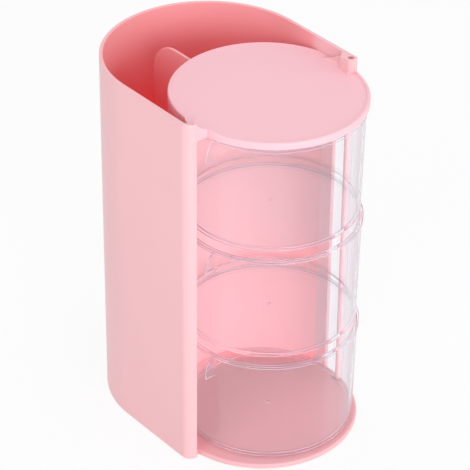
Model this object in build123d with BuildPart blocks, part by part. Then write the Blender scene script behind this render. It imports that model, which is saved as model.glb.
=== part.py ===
"""A desktop make-up organizer: an oval housing with a brush compartment behind and three clear round
drawers in front, stacked on one upright rod and swinging out one by one to the right.

Millimetres, +Z up, X to the right, +Y to the back. The origin is on the table, under the middle of the
whole footprint.
"""

import os
from math import sqrt

from build123d import *

os.makedirs("parts", exist_ok=True)

# ---- driving dimensions ----------------------------------------------------------------------------
# housing
HALF_W = 69.0  # half of the housing's width
BACK_Y = 93.0  # back of the housing
RIM_Z = 255.0  # flat rim, which is also the overall height
WALL = 2.5  # outer wall
PAD_OUT = 0.6  # how far the anti-slip pads stand out below
ARC_Y = BACK_Y - HALF_W  # centre of the round back
POST_Y = -41.9  # front face of the left-hand post
POST_T = 1.5  # thickness of the post's front face
POST_W = 7.1  # width of the post's front face
POST_R = 6.5  # rounding of the post's outer corner
POST_IN = 2.2  # from the wall's inner face to the post's inner corner
RIGHT_Y = -22.8  # front edge of the right-hand wall
RIM_ROUND = 0.5  # rounding of the top rim

# drawers
AXIS = (7.0, -31.5)  # common axis of the closed drawers
LIP_R = 59.4  # drawer's rim
TOP_R = 58.5  # drawer's wall just under the rim
FOOT_R = 57.2  # drawer's wall at the floor
DRAWER_H = 75.0
DRAWER_T = 2.0  # drawer's wall
FLOOR_T = 2.2
LIP_H = 2.2
LIP_SLOPE = 1.0  # height over which the wall widens into the rim
FOOT_ROUND = 1.6
FIRST_Z = 4.9  # underside of the lowest drawer
PITCH = 80.7
DRAWERS = ("drawer_lower", "drawer_middle", "drawer_upper")
GATE_R = 1.7  # moulding mark in the middle of the floor
GATE_H = 0.5

# hinge
PIVOT = (65.3, -38.0)
ROD_R = 2.0
HOLE_R = 2.05
KNUCKLE_R = 3.7
SPACER_GAP = 0.3  # axial play on each side of a spacer

# pull tab
TAB_Y = -45.3  # middle plane of the tab
TAB_T = 1.8
TAB_OUT = 8.0  # how far it stands out from the drawer's wall
TAB_H = 15.5
TAB_TOP = 0.4  # below the drawer's top
TAB_ROUND = 2.2  # its lower corner
TAB_ROOT = 1.2  # how far it reaches into the wall

# cover, partition and base
COVER_R = 61.2
COVER_X = AXIS[0] + 0.8
COVER_Y = (AXIS[1] + 1.9, AXIS[1] + 8.0)  # centres of the cover's two half circles
COVER_Z = 241.7
COVER_TOP = 246.2
COVER_LIP = 2.2  # width of the raised lip
COVER_DIP = 0.5  # depth of the plate inside the lip
COVER_ROUND = 1.1
PART_T = 1.4  # partition
FLARE = ((-62.3, -36.5), (-53.4, -19.2))  # outer line of the partition's flare towards the post
BASE_R = 64.6
BASE_C = (4.0, BASE_R - BACK_Y)  # the base reaches as far forward as the housing reaches back
BASE_TOP = 4.2
BASE_ROUND = 1.4
BASE_NOTCH = (3.0, 9.0)  # clears the slanted inner face of the post
RAMP_X = -43.0  # foot of the ramp that rises to the post
RAMP_Y = (-39.8, -19.0)  # where the ramp begins to fall towards the back, and its rear foot
PLATE_Z = COVER_TOP - COVER_DIP
FIT = 0.2  # assembly gap between the plate or cover and the walls

# rear divider
DIVIDER_X = -4.0
DIVIDER_T = 2.0
DIVIDER_END = 74.6
DIVIDER_TOP = 245.0
DIVIDER_ROUND = 22.0
DIVIDER_EDGE = 0.6  # rounding along its top
DIVIDER_PLAY = 0.02  # between the fin and the partition

# lug that holds the top of the rod
LUG_FRONT = -42.0
LUG_LEFT = 61.4
LUG_BACK = (-32.5, -28.1)  # back of the lug at its left and at the wall
LUG_ROUND = 3.0
RISE_R = (COVER_R - 7.0, COVER_R - 4.6)  # radii between which the cover rises to the lug
RISE_FRONT = -42.5
RISE_BACK = (-32.0, -14.0)
ROD_TOP = 251.0
ROD_FOOT = 1.6
ROD_EDGE = 0.5  # chamfer at its top

# pads
PAD_R = 5.0
PAD_T = 1.6
PAD_ROUND = 0.4
PAD_PLAY = 0.1
PADS = ((-50.0, 4.0), (50.0, 4.0), (-30.0, -74.0), (38.0, -74.0))


def save(name, item):
    """Label one finished piece and write it."""
    item.label = name
    export_step(item, f"parts/{name}.step")


LEFT_IN = -HALF_W + WALL
RIGHT_IN = HALF_W - WALL
POST_END = -HALF_W + POST_W
POST_BACK = POST_Y + POST_T
TOP_Z = RIM_Z - RIM_ROUND  # where the ramps meet the rounded rim


def slope(plane, corners, curves, depth):
    """A block seen from the side: lines through corners, closed by curves (start, end, tangents)."""
    with BuildPart(mode=Mode.PRIVATE) as part:
        with BuildSketch(plane):
            with BuildLine():
                Polyline(*corners)
                for start, end, tangents in curves:
                    Spline(start, end, tangents=tangents)
            make_face()
        extrude(amount=depth)
    return part.part


# ---- curved partition behind the drawers, flared at the left towards the post ----------------------
def bay(radius, flare):
    """Plan of the drawers' bay: an oval and its flare, as one region."""
    Circle(radius)
    with Locations((0, COVER_Y[0] - COVER_Y[1])):
        Rectangle(2 * radius, 2 * (COVER_Y[1] - COVER_Y[0]), align=(Align.CENTER, Align.CENTER))
    Polygon(*flare, align=None)


def shift(points, dx=0.0):
    """Points of the housing, as seen from the centre of the cover's rear half circle."""
    return [(x + dx - COVER_X, y - COVER_Y[1]) for x, y in points]


FLARE_OUT = [(FLARE[0][0], POST_BACK), FLARE[0], FLARE[1], (COVER_X, FLARE[1][1]), (COVER_X, POST_BACK)]
FRONT_CUT = [(-100, -140), (-100, POST_BACK), (40, POST_BACK), (40, RIGHT_Y), (100, RIGHT_Y), (100, -140)]
REAR = Plane((COVER_X, COVER_Y[1], 0))

with BuildPart() as partition:
    with BuildSketch(REAR.offset(BASE_TOP)):
        bay(COVER_R, shift(FLARE_OUT))
        with BuildSketch(REAR.offset(BASE_TOP), mode=Mode.SUBTRACT):
            bay(COVER_R - PART_T, shift(FLARE_OUT, PART_T))
        Polygon(*shift(FRONT_CUT), align=None, mode=Mode.SUBTRACT)
        with Locations((RIGHT_IN - COVER_X, 0)):
            Rectangle(60, 200, align=(Align.MIN, Align.CENTER), mode=Mode.SUBTRACT)
    extrude(amount=COVER_Z - BASE_TOP)
save("curved_partition", partition.part)

# ---- divider fin in the rear compartment ------------------------------------------------------------
fin_start = COVER_Y[1] + sqrt(COVER_R**2 - (DIVIDER_X + DIVIDER_T / 2 - COVER_X) ** 2) + DIVIDER_PLAY
with BuildPart() as divider:
    with BuildSketch(Plane.YZ.offset(DIVIDER_X - DIVIDER_T / 2)) as fin_side:
        Polygon(
            (fin_start, BASE_TOP),
            (DIVIDER_END, BASE_TOP),
            (DIVIDER_END, DIVIDER_TOP),
            (fin_start, DIVIDER_TOP),
            align=None,
        )
        # in this sketch X is the distance to the back and Y the height
        far_top = fin_side.vertices().group_by(Axis.Y)[-1].sort_by(Axis.X)[-1]
        fillet(far_top, DIVIDER_ROUND)
    extrude(amount=DIVIDER_T)
    fillet(divider.faces().sort_by(Axis.Z)[-1].edges().filter_by(Axis.Y), DIVIDER_EDGE)
save("rear_divider", divider.part)

# ---- cover: an oval plate with a thin raised lip, an ear and a ramp up to the post -----------------
EAR = [
    (FLARE[0][0], POST_BACK),
    (POST_END, POST_BACK),
    (COVER_X - 40, POST_BACK),
    (COVER_X - 40, FLARE[1][1]),
    FLARE[1],
    FLARE[0],
]


def oval(radius):
    """The cover's outline: two half circles joined by short straight sides."""
    for y in COVER_Y:
        with Locations((COVER_X, y)):
            Circle(radius)
    with Locations((COVER_X, sum(COVER_Y) / 2)):
        Rectangle(2 * radius, COVER_Y[1] - COVER_Y[0])


# the ramp lifts the cover's lip to the top of the post: it falls to the right and to the back
ramp_left, ramp_front = FLARE[0][0], COVER_Y[0] - COVER_R
with BuildPart() as ramp:
    with BuildSketch(Plane.XY.offset(COVER_Z)):
        oval(COVER_R - FIT)
        Polygon(*EAR, align=None)
    extrude(amount=RIM_Z - COVER_Z)
    to_right = slope(
        Plane.XZ.offset(-RAMP_Y[1]),
        [
            (RAMP_X, PLATE_Z),
            (RAMP_X, COVER_Z + 1),
            (ramp_left, COVER_Z + 1),
            (ramp_left, TOP_Z),
            (POST_END, TOP_Z),
        ],
        [((POST_END, TOP_Z), (RAMP_X, PLATE_Z), ((1, -1.6), (1, -0.05)))],
        RAMP_Y[1] - ramp_front,
    )
    to_back = slope(
        Plane.YZ.offset(ramp_left),
        [
            (RAMP_Y[1], PLATE_Z),
            (RAMP_Y[1], COVER_Z),
            (ramp_front, COVER_Z),
            (ramp_front, TOP_Z),
            (RAMP_Y[0], TOP_Z),
        ],
        [((RAMP_Y[0], TOP_Z), (RAMP_Y[1], PLATE_Z), ((1, -0.7), (1, -0.05)))],
        RAMP_X - ramp_left,
    )
    add(to_right, mode=Mode.INTERSECT)
    add(to_back, mode=Mode.INTERSECT)

with BuildPart() as cover:
    with BuildSketch(Plane.XY.offset(COVER_Z)):
        oval(COVER_R)
        Polygon(*EAR, align=None)
        with Locations((RIGHT_IN - FIT, RIGHT_Y - FIT)):
            Rectangle(20, 120, align=(Align.MIN, Align.MIN), mode=Mode.SUBTRACT)
    extrude(amount=COVER_TOP - COVER_Z)
    front = [e for e in cover.edges().group_by(Axis.Z)[-1] if e.length > 100]
    fillet(front, COVER_ROUND)
    # the plate lies a little lower than its lip, but not under the lug
    with BuildSketch(Plane.XY.offset(PLATE_Z)):
        oval(COVER_R - COVER_LIP)
        Polygon(
            (HALF_W, RIGHT_Y),
            (RIGHT_IN, RIGHT_Y),
            (RIGHT_IN, LUG_BACK[1]),
            (LUG_LEFT, LUG_BACK[0]),
            (LUG_LEFT, LUG_FRONT),
            (HALF_W, LUG_FRONT),
            align=None,
            mode=Mode.SUBTRACT,
        )
    extrude(amount=COVER_DIP, mode=Mode.SUBTRACT)
    add(ramp.part)
    with Locations((PIVOT[0], PIVOT[1], COVER_TOP)):
        Hole(HOLE_R, depth=COVER_TOP - COVER_Z)
save("top_cover", cover.part)


# ---- housing shell: one wall, its front post on the left and the lug arm on the right --------------
# a hollow slope leads from the cover's plate up to the lug: part of a ring, falling at both ends
with BuildPart() as rise:
    with BuildSketch(Plane.XZ.offset(-COVER_Y[1])):
        with BuildLine():
            Polyline(
                (COVER_X + RISE_R[0], PLATE_Z),
                (COVER_X + COVER_R - FIT, PLATE_Z),
                (COVER_X + COVER_R - FIT, TOP_Z),
                (COVER_X + RISE_R[1], TOP_Z),
            )
            Spline(
                (COVER_X + RISE_R[0], PLATE_Z),
                (COVER_X + RISE_R[1], TOP_Z),
                tangents=((1, 0.1), (0.6, 1)),
            )
        make_face()
    revolve(axis=Axis((COVER_X, COVER_Y[1], 0), (0, 0, 1)))
    front_top, back_top = (LUG_FRONT + LUG_ROUND, TOP_Z), (RISE_BACK[0], TOP_Z)
    front_foot, back_foot = (RISE_FRONT, PLATE_Z), (RISE_BACK[1], PLATE_Z)
    ends = slope(
        Plane.YZ.offset(COVER_X),
        [back_top, front_top],
        [
            (front_foot, front_top, ((1, 0.1), (0.5, 1))),
            (back_top, back_foot, ((1, -0.4), (1, -0.1))),
            (front_foot, back_foot, ((1, 0), (1, 0))),
        ],
        RIGHT_IN - FIT - COVER_X,
    )
    add(ends, mode=Mode.INTERSECT)


with BuildPart() as shell:
    with BuildSketch(Plane.XY.offset(PAD_OUT)) as wall_plan:
        with BuildLine():
            Line((POST_END, POST_Y), (-HALF_W + POST_R, POST_Y))
            RadiusArc((-HALF_W + POST_R, POST_Y), (-HALF_W, POST_Y + POST_R), POST_R)
            Line((-HALF_W, POST_Y + POST_R), (-HALF_W, ARC_Y))
            ThreePointArc((-HALF_W, ARC_Y), (0, BACK_Y), (HALF_W, ARC_Y))
            Line((HALF_W, ARC_Y), (HALF_W, RIGHT_Y))
            Line((HALF_W, RIGHT_Y), (RIGHT_IN, RIGHT_Y))
            Line((RIGHT_IN, RIGHT_Y), (RIGHT_IN, ARC_Y))
            ThreePointArc((RIGHT_IN, ARC_Y), (0, BACK_Y - WALL), (LEFT_IN, ARC_Y))
            Line((LEFT_IN, ARC_Y), (LEFT_IN, POST_Y + POST_R))
            Line((LEFT_IN, POST_Y + POST_R), (LEFT_IN + POST_IN, POST_BACK))
            Line((LEFT_IN + POST_IN, POST_BACK), (POST_END, POST_BACK))
            Line((POST_END, POST_BACK), (POST_END, POST_Y))
        make_face()
    extrude(amount=COVER_TOP - PAD_OUT)
    # the rim runs on forward over the cover and widens into a lug round the rod
    with BuildSketch(Plane.XY.offset(COVER_TOP)) as rim_plan:
        add(wall_plan.sketch.moved(Location((0, 0, COVER_TOP - PAD_OUT))))
        Polygon(
            (HALF_W, RIGHT_Y + 1),
            (RIGHT_IN, RIGHT_Y + 1),
            (RIGHT_IN, LUG_BACK[1]),
            (LUG_LEFT, LUG_BACK[0]),
            (LUG_LEFT, LUG_FRONT),
            (HALF_W, LUG_FRONT),
            align=None,
        )
        fillet([v for v in rim_plan.vertices() if abs(v.Y - LUG_FRONT) < 0.01 and v.X > 0], LUG_ROUND)
    extrude(amount=RIM_Z - COVER_TOP)
    rim_edges = [e for e in shell.edges().group_by(Axis.Z)[-1] if e.length > 2]
    fillet(rim_edges, RIM_ROUND)
    # a hollow slope leads up from the cover to the lug
    add(rise.part)
    add(cover.part, mode=Mode.SUBTRACT)
    with Locations((PIVOT[0], PIVOT[1], RIM_Z)):
        Hole(HOLE_R, depth=RIM_Z - COVER_TOP + 1)
save("housing_shell", shell.part)


# ---- base plate: a disc under the drawers and the floor of the rear compartment --------------------
with BuildPart() as base:
    with BuildSketch(Plane.XY.offset(PAD_OUT)):
        with Locations(BASE_C):
            Circle(BASE_R)
        with Locations((0, RIGHT_Y - FIT)):
            Rectangle(200, 200, align=(Align.CENTER, Align.MIN), mode=Mode.SUBTRACT)
    extrude(amount=BASE_TOP - PAD_OUT)
    lip = [e for e in base.edges().filter_by(GeomType.CIRCLE) if e.length > 60]
    fillet(lip, BASE_ROUND)
    with BuildSketch(Plane.XY.offset(PAD_OUT)):
        with Locations((0, ARC_Y)):
            Circle(HALF_W - WALL - FIT)
            Rectangle(2 * (HALF_W - WALL - FIT), ARC_Y - RIGHT_Y + FIT, align=(Align.CENTER, Align.MAX))
        with Locations((LEFT_IN + FIT, RIGHT_Y)):
            Rectangle(40, RIGHT_Y - POST_BACK - FIT, align=(Align.MIN, Align.MAX))
        with Locations((LEFT_IN + FIT, POST_BACK + FIT)):
            Rectangle(*BASE_NOTCH, align=(Align.CENTER, Align.CENTER), mode=Mode.SUBTRACT)
        # the half disc in front is already there
        with Locations((0, RIGHT_Y - FIT - 40)):
            Rectangle(200, 40, align=(Align.CENTER, Align.MAX), mode=Mode.SUBTRACT)
    extrude(amount=BASE_TOP - PAD_OUT)
    with Locations((PIVOT[0], PIVOT[1], BASE_TOP)):
        Hole(HOLE_R, depth=BASE_TOP - ROD_FOOT)
    with Locations(*[Location((x, y, PAD_OUT), (180, 0, 0)) for x, y in PADS]):
        Hole(PAD_R + PAD_PLAY, depth=PAD_T - PAD_OUT)
save("base_plate", base.part)

with BuildPart() as pads:
    with BuildSketch():
        with Locations(*PADS):
            Circle(PAD_R)
    extrude(amount=PAD_T)
    fillet(pads.edges().group_by(Axis.Z)[0], PAD_ROUND)
save("anti_slip_pads", pads.part)

# ---- pivot rod and the loose rings on it ------------------------------------------------------------
with BuildPart() as rod:
    with BuildSketch(Plane.XY.offset(ROD_FOOT)):
        with Locations(PIVOT):
            Circle(ROD_R)
    extrude(amount=ROD_TOP - ROD_FOOT)
    chamfer(rod.edges().group_by(Axis.Z)[-1], ROD_EDGE)
save("pivot_rod", rod.part)


def ring(bottom, top):
    """A plain ring round the rod, between two heights."""
    with BuildPart() as part:
        with BuildSketch(Plane.XY.offset(bottom)):
            with Locations(PIVOT):
                Circle(KNUCKLE_R)
                Circle(HOLE_R, mode=Mode.SUBTRACT)
        extrude(amount=top - bottom)
    return part.part


save("base_washer", ring(BASE_TOP, FIRST_Z - SPACER_GAP))
gaps = [
    ring(FIRST_Z + i * PITCH + DRAWER_H + SPACER_GAP, FIRST_Z + (i + 1) * PITCH - SPACER_GAP)
    for i in range(len(DRAWERS) - 1)
]
save("rod_spacers", Compound(children=gaps))


# ---- drawers ----------------------------------------------------------------------------------------
def cup(z):
    """One clear round drawer with its knuckle and its pull tab; z is its underside."""
    lip_z = DRAWER_H - LIP_H
    inner_top = TOP_R - DRAWER_T
    inner_foot = FOOT_R - DRAWER_T
    # the hollow, with the knuckle's tube left standing in it
    with BuildPart() as hollow:
        with BuildSketch(Plane.XZ):
            Polygon(
                (0, FLOOR_T),
                (inner_foot, FLOOR_T),
                (inner_top, DRAWER_H),
                (inner_top, DRAWER_H + 1),
                (0, DRAWER_H + 1),
                align=None,
            )
        revolve(axis=Axis.Z)
        fillet(hollow.edges().group_by(Axis.Z)[0], FOOT_ROUND - 1)
        with BuildSketch():
            with Locations((PIVOT[0] - AXIS[0], PIVOT[1] - AXIS[1])):
                Circle(KNUCKLE_R)
        extrude(amount=DRAWER_H + 2, mode=Mode.SUBTRACT)
    with BuildPart() as part:
        with BuildSketch(Plane.XZ):
            Polygon(
                (0, 0),
                (FOOT_R, 0),
                (TOP_R, lip_z - LIP_SLOPE),
                (LIP_R, lip_z),
                (LIP_R, DRAWER_H),
                (0, DRAWER_H),
                align=None,
            )
        revolve(axis=Axis.Z)
        fillet(part.edges().group_by(Axis.Z)[0], FOOT_ROUND)
        # tab and knuckle are moulded on the outside
        wall_x = -sqrt(TOP_R**2 - (TAB_Y - AXIS[1]) ** 2)
        top = DRAWER_H - TAB_TOP
        with BuildSketch(Plane.XZ.offset(-(TAB_Y - AXIS[1]) - TAB_T / 2)) as tab_side:
            with BuildLine():
                Line((wall_x + TAB_ROOT, top), (wall_x, top))
                Spline(
                    (wall_x, top),
                    (wall_x - 0.68 * TAB_OUT, top - 0.24 * TAB_H),
                    (wall_x - 0.97 * TAB_OUT, top - 0.58 * TAB_H),
                    (wall_x - TAB_OUT, top - TAB_H + TAB_ROUND),
                )
                RadiusArc(
                    (wall_x - TAB_OUT, top - TAB_H + TAB_ROUND),
                    (wall_x - TAB_OUT + TAB_ROUND, top - TAB_H),
                    -TAB_ROUND,
                )
                Line((wall_x - TAB_OUT + TAB_ROUND, top - TAB_H), (wall_x + TAB_ROOT, top - TAB_H))
                Line((wall_x + TAB_ROOT, top - TAB_H), (wall_x + TAB_ROOT, top))
            make_face()
        extrude(amount=TAB_T)
        with BuildSketch():
            with Locations((PIVOT[0] - AXIS[0], PIVOT[1] - AXIS[1])):
                Circle(KNUCKLE_R)
        extrude(amount=DRAWER_H)
        add(hollow.part, mode=Mode.SUBTRACT)
        with Locations((PIVOT[0] - AXIS[0], PIVOT[1] - AXIS[1], DRAWER_H)):
            Hole(HOLE_R, depth=DRAWER_H)
        with BuildSketch(Plane.XY.offset(FLOOR_T)):
            Circle(GATE_R)
        extrude(amount=GATE_H)
    return part.part.moved(Location((AXIS[0], AXIS[1], z)))


for i, name in enumerate(DRAWERS):
    save(name, cup(FIRST_Z + i * PITCH))
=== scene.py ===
# %% [markdown]
# A desktop make-up organizer: a pink oval housing, an open compartment for brushes at the back, and
# three clear round drawers in front that swing out on one rod. The measured model is loaded first.
# It fixes every size and every moving body; what follows gives each piece its finished surface.

from functools import reduce
from math import cos, radians, sin

import bpy
import numpy as np
from mathutils import Matrix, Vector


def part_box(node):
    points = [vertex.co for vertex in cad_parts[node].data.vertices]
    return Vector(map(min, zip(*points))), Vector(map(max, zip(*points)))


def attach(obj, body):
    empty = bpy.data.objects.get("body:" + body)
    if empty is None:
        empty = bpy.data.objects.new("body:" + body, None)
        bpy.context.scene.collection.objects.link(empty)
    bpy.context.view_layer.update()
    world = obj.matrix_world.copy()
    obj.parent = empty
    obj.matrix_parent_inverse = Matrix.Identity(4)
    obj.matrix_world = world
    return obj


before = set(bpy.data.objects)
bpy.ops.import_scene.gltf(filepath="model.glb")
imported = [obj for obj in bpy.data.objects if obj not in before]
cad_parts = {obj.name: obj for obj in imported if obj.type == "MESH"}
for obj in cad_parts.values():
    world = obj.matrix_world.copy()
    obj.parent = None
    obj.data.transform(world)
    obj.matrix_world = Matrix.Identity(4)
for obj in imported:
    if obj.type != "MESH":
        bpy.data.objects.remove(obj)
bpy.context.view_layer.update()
MM = 0.001

# %% [markdown]
# The looks follow the shape, so they need some of its measures. What a piece's box can tell is read
# from it; the rest are the radii and wall thicknesses of the drawers and of the bay that they stand in.

# %% Measures
HALF_WIDTH, SHELL_BACK, SHELL_TOP = (float(c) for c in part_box("housing_shell")[1])
ARC_Y = SHELL_BACK - HALF_WIDTH  # centre of the round back
WALL = 2.5 * MM

PART_T = 1.4 * MM  # the curved partition, and the bay whose back it is
BAY_R = 61.2 * MM
BAY_X, BAY_Y = 7.8 * MM, float(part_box("curved_partition")[1][1]) - BAY_R

AXIS_X, AXIS_Y = 7.0 * MM, -31.5 * MM  # axis of the closed drawers
FIRST_Z = float(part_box("drawer_lower")[0][2])
DRAWER_H = float(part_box("drawer_lower")[1][2]) - FIRST_Z
PITCH = float(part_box("drawer_middle")[0][2]) - FIRST_Z
LIP_R, TOP_R, FOOT_R = 59.4 * MM, 58.5 * MM, 57.2 * MM
SKIN, FLOOR_T, LIP_H = 2.0 * MM, 2.2 * MM, 2.2 * MM
GATE_R = 1.7 * MM  # moulding mark in the middle of a floor
TAB_OUT, TAB_H, TAB_ROUND, TAB_TOP = 8.0 * MM, 15.5 * MM, 2.2 * MM, 0.4 * MM
TAB_Y = -45.3 * MM - AXIS_Y  # the tab's middle plane, seen from the drawer's axis
TAB_X = -((TOP_R**2 - TAB_Y**2) ** 0.5)
print("drawers", round(DRAWER_H / MM, 1), "mm high,", round(PITCH / MM, 1), "mm apart")

# %% [markdown]
# The photograph is taken from the front left and from above, from about a metre and a half away with
# a long lens. Its place was worked out from the circles of the drawers, so the camera is set by that
# place and three angles: how far it looks round to the right, how far down, and how far it leans.

# %% Camera
CAMERA_AT = np.array([-823.9, -995.8, 979.2]) * MM
TURN, DOWN, LEAN = radians(39.724), radians(33.35), radians(0.57)


def pointing(columns, at):
    """The matrix of an object whose own x, y and z axes are these directions."""
    rows = np.column_stack([np.stack(columns, 1), at])
    return Matrix([*rows.tolist(), [0, 0, 0, 1]])


ahead = np.array([sin(TURN) * cos(DOWN), cos(TURN) * cos(DOWN), -sin(DOWN)])
level = np.array([cos(TURN), -sin(TURN), 0.0])
over = np.cross(level, ahead)
right = level * cos(LEAN) + over * sin(LEAN)
upward = over * cos(LEAN) - level * sin(LEAN)

lens = bpy.data.cameras.new("camera")
lens.sensor_width, lens.lens, lens.clip_end = 36.0, 181.2, 50.0
camera = bpy.data.objects.new("camera", lens)
bpy.context.scene.collection.objects.link(camera)
camera.matrix_world = pointing([right, upward, -ahead], CAMERA_AT)
bpy.context.scene.camera = camera
print("camera", round(float(np.linalg.norm(CAMERA_AT)), 3), "m from the object's foot")

# %% [markdown]
# Shader maths reads best as plain expressions. This small class wraps one socket of a node, so that
# `1 - mask * 0.3` adds the Math nodes by itself, and `node` makes any other node in one line.


# %% Sockets as values
class Wire:
    """One output socket in a node tree, with Python's operators for its values."""

    def __init__(self, tree, socket=None):
        self.tree, self.socket = tree, socket

    def node(self, kind, settings=None, inputs=None, out=0):
        """Add a node of that kind; settings first, then values or links of its sockets."""
        made = self.tree.nodes.new(kind)
        for key, value in (settings or {}).items():
            setattr(made, key, value)
        for key, value in (inputs or {}).items():
            target = made.inputs[key]
            if isinstance(value, Wire):
                self.tree.links.new(value.socket, target)
            else:
                target.default_value = (*value, 1.0) if target.type == "RGBA" else value
        return Wire(self.tree, made.outputs[out])

    def math(self, operation, *others):
        return self.node("ShaderNodeMath", {"operation": operation}, dict(enumerate((self, *others))))

    def __add__(self, other):
        return self.math("ADD", other)

    def __mul__(self, other):
        return self.math("MULTIPLY", other)

    def __sub__(self, other):
        return self.math("SUBTRACT", other)

    def __rsub__(self, other):
        return self.node("ShaderNodeMath", {"operation": "SUBTRACT"}, {0: other, 1: self})

    def __pow__(self, other):
        return self.math("POWER", other)

    __radd__, __rmul__ = __add__, __mul__

    def at_least(self, low):
        """The greater of this value and another."""
        return self.math("MAXIMUM", low)

    def axes(self):
        """The x, y and z of a place."""
        split = self.node("ShaderNodeSeparateXYZ", {}, {0: self}).socket.node.outputs
        return [Wire(self.tree, part) for part in split]

    def between(self, low, high):
        """0 below low, 1 above high, and straight in between."""
        return self.node("ShaderNodeMapRange", {}, {"Value": self, "From Min": low, "From Max": high})

    def noise(self, scale, detail):
        """Cloudy noise at a place."""
        return self.node("ShaderNodeTexNoise", {}, {"Vector": self, "Scale": scale, "Detail": detail})

    def mix(self, first, second):
        """Colour first where this value is 0 and second where it is 1."""
        inputs = {0: self, 6: first, 7: second}
        return self.node("ShaderNodeMix", {"data_type": "RGBA"}, inputs, out=2)

    def ray(self, *kinds):
        """1 for the rays of these kinds, and 0 for all others."""
        outputs = self.tree.nodes.new("ShaderNodeLightPath").outputs
        return highest(Wire(self.tree, outputs[f"Is {kind} Ray"]) for kind in kinds)


def highest(wires):
    """The greatest of several values."""
    return reduce(Wire.at_least, wires)


def new_material(name):
    """An empty material, and the object coordinates in it."""
    material = bpy.data.materials.new(name)
    material.use_nodes = True
    tree = material.node_tree
    tree.nodes.clear()
    return material, Wire(tree, tree.nodes.new("ShaderNodeTexCoord").outputs["Object"])


def close_tree(tree, shader, kind="ShaderNodeOutputMaterial"):
    """Join the last shader to the output of a material or of the world."""
    tree.links.new(shader.socket, tree.nodes.new(kind).inputs["Surface"])


# %% [markdown]
# All colours stand together, as the renderer takes them: red, green and blue from 0 to 1. The pinks of
# the walls, cover and base are those of the plastic; the deep red, the bay's tone and the pink under the
# drawers are painted shade and bounced light. The glows are added light, and stand for what soaks
# through or bounces about in the bright plastic, which the few bounces of the renderer leave out. In
# the drawers the milky glow and the mauve edge lines are painted light, and the lilac edge colour is
# partly painted shade.

# %% Colours
NONE = (0.0, 0.0, 0.0)
WHITE = (1.0, 1.0, 1.0)
WALL_PINK = (0.87, 0.50, 0.53)
COVER_TONE = (0.92, 0.53, 0.59)
BASE_TONE = (0.88, 0.46, 0.49)
PAINTED_BOUNCE_RED = (0.93, 0.24, 0.26)  # painted shade and bounced red light, low in the rear compartment
BAY_SHADE = (0.83, 0.40, 0.42)  # painted shade on the bay's wall behind the drawers
UNDER_DRAWER_SHADE = (0.72, 0.31, 0.33)  # painted shade on the base under the drawers
SOAK_GLOW = (0.16, 0.02, 0.03)  # painted glow in the bay, near its foot
DEEP_GLOW = (0.165, 0.008, 0.009)  # in the rear compartment
CLEAR_TINT = (0.985, 0.975, 0.99)
# lilac edge colour: the plastic's own tint through more plastic, darkened with painted shade
CLEAR_EDGE = (0.46, 0.38, 0.50)
# painted milky glow, for light scattered and reflected in the plastic
MILK_GLOW = (0.93, 0.90, 0.95)
# mauve of the painted edge lines, for the light the drawers' edges catch and bend
MAUVE = (0.50, 0.36, 0.46)
ROD_TONE = (0.84, 0.5, 0.53)
PAD_TONE = (0.6, 0.58, 0.58)
FLOOR_TONE = (0.9, 0.9, 0.9)

# %% [markdown]
# The housing is moulded plastic, softly shining, with the faint waviness and fine orange-peel that
# every moulding has. Two layers of noise feed a bump, a slower one shifts the colour by a little, and
# the roughness wanders with it.

# %% Moulded plastic
DRIFT, WAVE, PEEL = (9.0, 3.0), (30.0, 1.0), (900.0, 2.0)  # scale and detail of each noise
MIDDLE = (0.35, 0.65)  # between these a noise value passes from its low to its high side
PEEL_SHARE, PEEL_DEPTH = 0.25, 0.06 * MM
DARKER, LIGHTER = 0.975, 1.015  # how far the colour drifts
ROUGH_DRIFT = 0.06


def moulded(name, colour, rough=0.36, painted_shading=None, painted_glow=None):
    """Moulded plastic: its colour and roughness drift a little, and its bump has a fine peel.

    After rough, one argument gives, from the place, a mask and the colour of painted shade and bounced
    light; the last gives the colour of a painted glow, for the light that comes through the wall from its
    other side and for the red light that bounces about in the compartment.
    """
    material, place = new_material(name)
    drift = place.noise(*DRIFT)
    shade = drift.between(*MIDDLE).mix(
        tuple(c * DARKER for c in colour), tuple(min(1.0, c * LIGHTER) for c in colour)
    )
    # painted shade and bounced light, laid over the colour by a mask
    if painted_shading:
        mask, tone = painted_shading(place)
        shade = mask.mix(shade, tone)
    height = place.noise(*PEEL) * PEEL_SHARE + place.noise(*WAVE)
    bump = place.node("ShaderNodeBump", {}, {"Height": height, "Distance": PEEL_DEPTH})
    inputs = {
        "Base Color": shade,
        "Roughness": drift.between(0.3, 0.7) * ROUGH_DRIFT + (rough - ROUGH_DRIFT / 2),
        "Normal": bump,
        "IOR": 1.48,
    }
    # painted glow, given as emission
    if painted_glow:
        inputs |= {"Emission Color": painted_glow(place), "Emission Strength": 1.0}
    close_tree(material.node_tree, place.node("ShaderNodeBsdfPrincipled", {}, inputs))
    return material


# %% [markdown]
# Deep inside the rear compartment light bounces from pink wall to pink wall, and each bounce takes out
# more of the green and blue, so the plastic there looks almost red. The bounces of the renderer show
# a part of that. The rest is a colour mask that grows with the depth below the rim, on the faces that
# look inwards: the curve of the walls gives how far inside a point lies.


# %% Where shade and bounced light are painted
WALL_FADE = (SHELL_TOP - 75 * MM, SHELL_TOP - 1.5 * MM)  # the painted shade and bounced red deepen between these heights
FIN_FADE = (SHELL_TOP - 80 * MM, SHELL_TOP - 5 * MM)
BORDER, BORDER_SLOPE = (-36 * MM, -28 * MM), 0.45  # where the compartment begins, further back on the right


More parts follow.
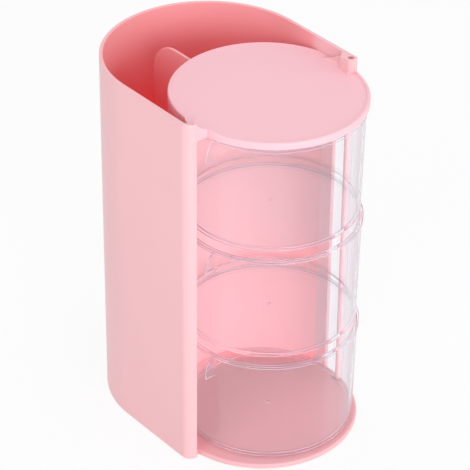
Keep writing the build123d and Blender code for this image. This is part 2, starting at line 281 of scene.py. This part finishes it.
def inside_wall(place):
    """Mask of painted shade and bounced red light on the shell's inner faces, stronger the lower they lie,
    and its colour.
    """
    x, y, z = place.axes()
    beyond = (y - ARC_Y).at_least(0.0)
    radius = (x * x + beyond * beyond) ** 0.5
    inner = 1 - radius.between(HALF_WIDTH - WALL * 0.9, HALF_WIDTH - WALL * 0.5)
    depth = 1 - z.between(*WALL_FADE)
    behind = (y - x.at_least(0.0) * BORDER_SLOPE).between(*BORDER)
    return inner * (depth * 0.55 + 0.45) * behind, PAINTED_BOUNCE_RED


def inner_glow(place):
    """Red light that the shell's inner faces take up from each other, stronger deeper down."""
    return (inside_wall(place)[0] ** 3).mix(NONE, DEEP_GLOW)


def below_rim(place):
    """Mask of painted shade and bounced red light, by the depth below the rim, for the pieces in the
    compartment, and its colour.
    """
    _, _, z = place.axes()
    return (1 - z.between(*FIN_FADE)) * 0.4 + 0.45, PAINTED_BOUNCE_RED


def fin_glow(place):
    """The red light on the fin."""
    return (below_rim(place)[0] ** 3).mix(NONE, DEEP_GLOW)


# %% [markdown]
# The curved partition has two faces with two looks. Its hollow side stands behind the drawers and
# carries painted shade, for the light that they hold off, and glows a little: a painted glow for the
# daylight that comes through the thin wall from the open compartment. Its other side belongs to the
# deep compartment, with its painted shade and bounced light. A point is on the hollow side if it is
# nearer to the axis of the drawers' bay than the middle of the wall. The base has painted shade too,
# under the drawers.


# %% The two faces of the partition
LOW_PART = (60 * MM, 115 * MM)  # the glow near the foot ends between these heights
UNDER_R, UNDER_FORWARD = (54 * MM, 60 * MM), 8 * MM  # round area of the base under the drawers


def hollow_side(place):
    """1 on the partition's face towards the drawers, 0 on the other."""
    x, y, _ = place.axes()
    x, behind = x - BAY_X, (y - BAY_Y).at_least(0.0)
    radius = (x * x + behind * behind) ** 0.5
    return 1 - radius.between(BAY_R - PART_T * 0.7, BAY_R - PART_T * 0.4)


def two_sides(place):
    """Mask of painted shade on each face of the partition, and its colour: bounced red on the compartment's
    side, shade behind the drawers.
    """
    mask, tone = below_rim(place)
    hollow = hollow_side(place)
    return hollow.at_least(mask), hollow.mix(tone, BAY_SHADE)


def daylight(place):
    """Light that soaks through the partition's hollow side, near the foot."""
    low = 1 - place.axes()[2].between(*LOW_PART)
    return (hollow_side(place) * low).mix(NONE, SOAK_GLOW)


def under_drawers(place):
    """Mask of painted shade on the base inside the bay, where little light falls, and its colour."""
    x, y, _ = place.axes()
    x, y = x - BAY_X, y - (BAY_Y - UNDER_FORWARD)
    return 1 - ((x * x + y * y) ** 0.5).between(*UNDER_R), UNDER_DRAWER_SHADE


# %% [markdown]
# The drawers are clear plastic. With the true refraction of plastic every rim would turn into a black
# line in this bright room, so the light passes almost straight, and the look of thick plastic is
# painted back in. Part of that look are faint lilac lines of painted shade along the rim, the lip and
# the foot, where the real drawer gathers and bends the light. The three drawers are alike and stand
# one pitch apart, so the height within a drawer is the remainder of a division.

# %% Painted lilac lines
LINES = [DRAWER_H - 0.4 * MM, DRAWER_H - 2.6 * MM, 1.0 * MM, 3.0 * MM]  # rim, lip, foot and floor
LINE_WIDTH = 0.8 * MM


def rim_lines(place):
    """1 at the heights in LINES, falling to 0 within LINE_WIDTH above and below each."""
    height = (place.axes()[2] - FIRST_Z).math("FLOORED_MODULO", PITCH)
    away = [(height - line).math("ABSOLUTE") for line in LINES]
    return highest(1 - distance.between(0.0, LINE_WIDTH) for distance in away)


# %% [markdown]
# The plastic itself: the light takes a faint tint on its way, and lilac where a wall is seen edge-on
# or on a line, partly the plastic's own tint through more plastic and partly painted shade. Over that
# lie a painted milky glow, stronger edge-on, for light scattered and reflected in the plastic, and a
# gloss. Shadow rays pass it freely, so what stands behind the drawers is lit.

# %% Clear plastic
VEIL, VEIL_EDGE = 0.03, 0.10
GLOSS, GLOSS_EDGE = 0.02, 0.48
LINE_SHARE = 0.35


def clear(name, rough=0.08):
    """Clear plastic: transmission with a tint and painted edge shade, a painted milky glow and a gloss.

    The gloss follows Schlick's rule: the share of light sent back is a small one plus a large one
    times the fifth power of the facing value, which is 0 seen straight on and 1 seen edge-on. The two
    sides of a wall share it, so both shares are half of what one surface would have.
    """
    material, place = new_material(name)
    flow = {"Height": place.noise(18.0, 1.0), "Distance": 0.3 * MM}
    bump = place.node("ShaderNodeBump", {}, flow)
    facing = place.node("ShaderNodeLayerWeight", {}, {"Blend": 0.5, "Normal": bump}, out=1)
    # edge-on and on the lines the tint turns lilac: partly the plastic's own tint, partly painted shade
    tone = (facing**6).at_least(rim_lines(place) * LINE_SHARE).mix(CLEAR_TINT, CLEAR_EDGE)
    inside = {"Base Color": tone, "Roughness": 0.0, "IOR": 1.015, "Transmission Weight": 1.0}
    body = place.node("ShaderNodeBsdfPrincipled", {}, inside)
    # painted milky glow, stronger where a wall is seen edge-on
    milk_glow = place.node("ShaderNodeEmission", {}, {"Color": MILK_GLOW, "Strength": 0.95})
    veil = facing**3 * VEIL_EDGE + VEIL
    veiled = place.node("ShaderNodeMixShader", {}, {0: veil, 1: body, 2: milk_glow})
    shine = {"Color": WHITE, "Roughness": rough, "Normal": bump}
    gloss = place.node("ShaderNodeBsdfGlossy", {}, shine)
    share = facing**5 * GLOSS_EDGE + GLOSS
    seen = place.node("ShaderNodeMixShader", {}, {0: share, 1: veiled, 2: gloss})
    clean = place.node("ShaderNodeBsdfTransparent", {}, {"Color": WHITE})
    shadow = place.ray("Shadow")
    both = place.node("ShaderNodeMixShader", {}, {0: shadow, 1: seen, 2: clean})
    close_tree(material.node_tree, both)
    return material


# %% [markdown]
# Every piece of the measured model now gets its finish. The cover is a lighter, slightly bluer pink
# than the walls, and the pieces round the rear compartment carry the painted shade and bounced light
# inside it. What the table leaves out, the drawers and the rings on the rod, is clear.

# %% Finishes on the pieces
PINK = moulded("pink_housing", WALL_PINK, painted_shading=inside_wall, painted_glow=inner_glow)
CLEAR = clear("clear_drawer")
FINISH = {
    "housing_shell": PINK,
    "top_cover": moulded("pink_cover", COVER_TONE, rough=0.45),
    "base_plate": moulded("pink_base", BASE_TONE, painted_shading=under_drawers),
    "curved_partition": moulded("pink_partition", WALL_PINK, painted_shading=two_sides, painted_glow=daylight),
    "rear_divider": moulded("pink_fin", WALL_PINK, painted_shading=below_rim, painted_glow=fin_glow),
    "pivot_rod": moulded("pink_rod", ROD_TONE, rough=0.25),
    "anti_slip_pads": moulded("pad_rubber", PAD_TONE, rough=0.7),
}
for node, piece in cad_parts.items():
    for slot in piece.material_slots:
        slot.material = FINISH.get(node, CLEAR)
    print(node, len(piece.data.polygons), [s.material.name for s in piece.material_slots])

# %% [markdown]
# A clear moulding shows itself by its edges: each corner of the wall catches the light as a thin mauve
# line. Those lines are painted edge lines, for the light the edges catch and bend, and are made as fine
# tubes that lie inside the plastic. A tube is a circle carried along a path, and one piece may hold
# several tubes.


# %% Tubes along a path
def tube(path, radius, side, closed, sides=10):
    """Points and faces of a round tube: path(t) + radius (cos v n(t) + sin v b(t)).

    n is the path's direction crossed with side, b is the direction crossed with n, and v goes round.
    side is any direction that the path never takes.
    """
    along = np.roll(path, -1, 0) - np.roll(path, 1, 0) if closed else np.gradient(path, axis=0)
    along /= np.linalg.norm(along, axis=1, keepdims=True)
    n = np.cross(along, side)
    n /= np.linalg.norm(n, axis=1, keepdims=True)
    b = np.cross(along, n)
    v = np.arange(sides)[None, :, None] * (2 * np.pi / sides)
    points = path[:, None] + radius * (np.cos(v) * n[:, None] + np.sin(v) * b[:, None])
    grid = np.arange(len(path) * sides).reshape(len(path), sides)
    beside, further = np.roll(grid, -1, 1), np.roll(grid, -1, 0)
    quads = np.stack([grid, beside, np.roll(beside, -1, 0), further], -1)
    faces = (quads if closed else quads[:-1]).reshape(-1, 4).tolist()
    if not closed:
        faces += [grid[0, ::-1].tolist(), grid[-1].tolist()]
    return points.reshape(-1, 3), faces


def piece_of(name, parts, at, body, finish):
    """One smooth object from several (points, faces), moved to a place and riding on a body."""
    starts = np.cumsum([0] + [len(points) for points, _ in parts])
    faces = [[i + start for i in face] for (_, some), start in zip(parts, starts) for face in some]
    mesh = bpy.data.meshes.new(name)
    mesh.from_pydata(np.concatenate([points for points, _ in parts]) + np.array(at), [], faces)
    mesh.polygons.foreach_set("use_smooth", np.ones(len(faces), bool))
    mesh.materials.append(finish)
    piece = bpy.data.objects.new(name, mesh)
    bpy.context.scene.collection.objects.link(piece)
    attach(piece, body)
    print(name, len(mesh.vertices), "points,", len(mesh.polygons), "faces")


# %% [markdown]
# Two kinds of path are needed: a level circle, for the rims, the floors and the moulding marks, and
# the outline of the pull tab, which is a quarter ellipse, a small round corner and a straight foot.


# %% Paths
def circle(radius, height, steps=256):
    """A level circle about the upright axis: (radius cos t, radius sin t, height)."""
    t = np.arange(steps) * (2 * np.pi / steps)
    return np.stack([radius * np.cos(t), radius * np.sin(t), np.full(steps, height)], -1)


def tab_outline(inset, steps=24):
    """The tab's edge, moved inwards by inset, from the wall at the top to the wall at the foot.

    Quarter ellipse: (-a sin t, -h (1 - cos t)). Corner of radius r: (-a + r (1 - cos t), -h - r sin t).
    """
    a, h, r = TAB_OUT - inset, TAB_H - TAB_ROUND - inset, TAB_ROUND - inset
    t = np.linspace(0.0, np.pi / 2, steps)
    fall = np.stack([-a * np.sin(t), -h * (1 - np.cos(t)) - inset], -1)
    corner = np.stack([-a + r * (1 - np.cos(t)), -h - inset - r * np.sin(t)], -1)[1:]
    foot = np.stack([np.linspace(-a + r, 0.0, steps), np.full(steps, -TAB_H + inset)], -1)[1:]
    x, z = np.concatenate([fall, corner, foot]).T
    return np.stack([TAB_X + x, np.full(len(x), TAB_Y), DRAWER_H - TAB_TOP + z], -1)


# %% [markdown]
# The lines are painted edge lines, in a mauve material of their own, half see-through, and a slow noise
# makes them stronger in one place and fainter in another, as a real edge is where it bends round.


# %% Painted mauve edge lines
def painted_edge_lines(name, weak=0.25, strong=0.85):
    """Painted edge lines: a satin material whose alpha wanders between weak and strong along the piece."""
    material, place = new_material(name)
    drift = place.noise(28.0, 1.0).between(*MIDDLE)
    inputs = {
        "Base Color": drift.mix(MAUVE, tuple(0.5 + 0.5 * c for c in MAUVE)),
        "Roughness": 0.35,
        "Alpha": (1 - drift) * (strong - weak) + weak,
    }
    close_tree(material.node_tree, place.node("ShaderNodeBsdfPrincipled", {}, inputs))
    return material


# %% [markdown]
# Each drawer gets three pieces of painted edge lines: the lines along its rim, lip and floor, the line
# round its tab, and the ring of the moulding mark. All lie a little inside the plastic, so the drawer
# keeps its size.

# %% Edges of the drawers
EDGE = painted_edge_lines("mauve_edge")
LINE_R = 0.22 * MM
INSET = 0.32 * MM
FOOT_INSET = 2.4 * INSET  # the foot's corner is round
UP, BACKWARD = np.array([0.0, 0.0, 1.0]), np.array([0.0, 1.0, 0.0])
RINGS = [
    (LIP_R - INSET, DRAWER_H - INSET),
    (TOP_R - SKIN + INSET, DRAWER_H - INSET),
    (LIP_R - INSET, DRAWER_H - LIP_H + INSET),
    (FOOT_R - FOOT_INSET, FOOT_INSET),
    (FOOT_R - SKIN - INSET, FLOOR_T - INSET),
]
TUBES = {
    "edges": [tube(circle(radius, height), LINE_R, UP, True) for radius, height in RINGS],
    "tab_edge": [tube(tab_outline(INSET), LINE_R, BACKWARD, False)],
    "gate_mark": [tube(circle(GATE_R - INSET, FLOOR_T + INSET, 48), LINE_R, UP, True)],
}
for i, drawer in enumerate(("drawer_lower", "drawer_middle", "drawer_upper")):
    at = (AXIS_X, AXIS_Y, FIRST_Z + i * PITCH)
    for part, tubes in TUBES.items():
        piece_of(f"{drawer}_{part}", tubes, at, drawer, EDGE)

# %% [markdown]
# The room is white. The camera, and any ray that comes through plastic or off a gloss, sees full white,
# while the light that falls on the object is held lower, so that the pinks keep their colour.

# %% Room
AMBIENT = 0.62


def sees_white(root):
    """1 for rays from the camera, through clear plastic or off a gloss; 0 for the light's own rays."""
    return root.ray("Camera", "Glossy", "Transmission")


world = bpy.data.worlds.new("room")
bpy.context.scene.world = world
world.use_nodes = True
world.node_tree.nodes.clear()
root = Wire(world.node_tree)
strength = sees_white(root) * (1.0 - AMBIENT) + AMBIENT
sky = root.node("ShaderNodeBackground", {}, {"Color": WHITE, "Strength": strength})
close_tree(world.node_tree, sky, "ShaderNodeOutputWorld")
print("room light", AMBIENT, "of what the camera sees")

# %% [markdown]
# Four large square lamps stand round the object. The low one in front looks straight into the drawers,
# because their bay is the darkest place, and the high one over the back lights the open compartment.

# %% Lamps
AIM = np.array([0.0, 0.0, 0.12])
LAMPS = {
    "front": ((-0.5, -1.9, 0.45), 1.3, 22),
    "left": ((-1.5, -0.4, 1.0), 1.0, 6),
    "right": ((1.4, -1.2, 0.9), 1.2, 6),
    "top": ((0.1, 0.3, 1.8), 1.0, 5),
}


def softbox(name, at, size, watts):
    """A square area lamp at a place, turned towards the object; watts is its power."""
    data = bpy.data.lights.new(name, "AREA")
    data.shape, data.size, data.energy = "SQUARE", size, watts
    lamp = bpy.data.objects.new(name, data)
    bpy.context.scene.collection.objects.link(lamp)
    away = np.array(at) - AIM
    away /= np.linalg.norm(away)
    side = np.cross((0, 0, 1), away)
    side /= np.linalg.norm(side)
    lamp.matrix_world = pointing([side, np.cross(away, side), away], at)


for name, (at, size, watts) in LAMPS.items():
    softbox(name, at, size, watts)
print("lamps", {name: watts for name, (_, _, watts) in LAMPS.items()})

# %% [markdown]
# The floor is a matt white sheet. A part of its brightness is its own, for the rays that see the
# background, so it stays white behind the object and still holds the object's shadow.

# %% Floor
FLOOR_HALF = 6.0
OWN_LIGHT = 0.86  # the share of the floor's brightness that is its own
floor_mesh = bpy.data.meshes.new("floor")
corners = [(x * FLOOR_HALF, y * FLOOR_HALF, 0.0) for x, y in ((-1, -1), (1, -1), (1, 1), (-1, 1))]
floor_mesh.from_pydata(corners, [], [(0, 1, 2, 3)])
floor = bpy.data.objects.new("floor", floor_mesh)
bpy.context.scene.collection.objects.link(floor)
material, place = new_material("floor_white")
matt = place.node("ShaderNodeBsdfDiffuse", {}, {"Color": FLOOR_TONE})
glow = place.node("ShaderNodeEmission", {}, {"Color": WHITE, "Strength": 1.0})
own = sees_white(place) * OWN_LIGHT
close_tree(material.node_tree, place.node("ShaderNodeMixShader", {}, {0: own, 1: matt, 2: glow}))
floor_mesh.materials.append(material)
print("floor", 2 * FLOOR_HALF, "m wide")

# %% [markdown]
# The view transform is plain, so a colour renders as it is written.

# %% Finish
bpy.context.scene.view_settings.view_transform = "Standard"
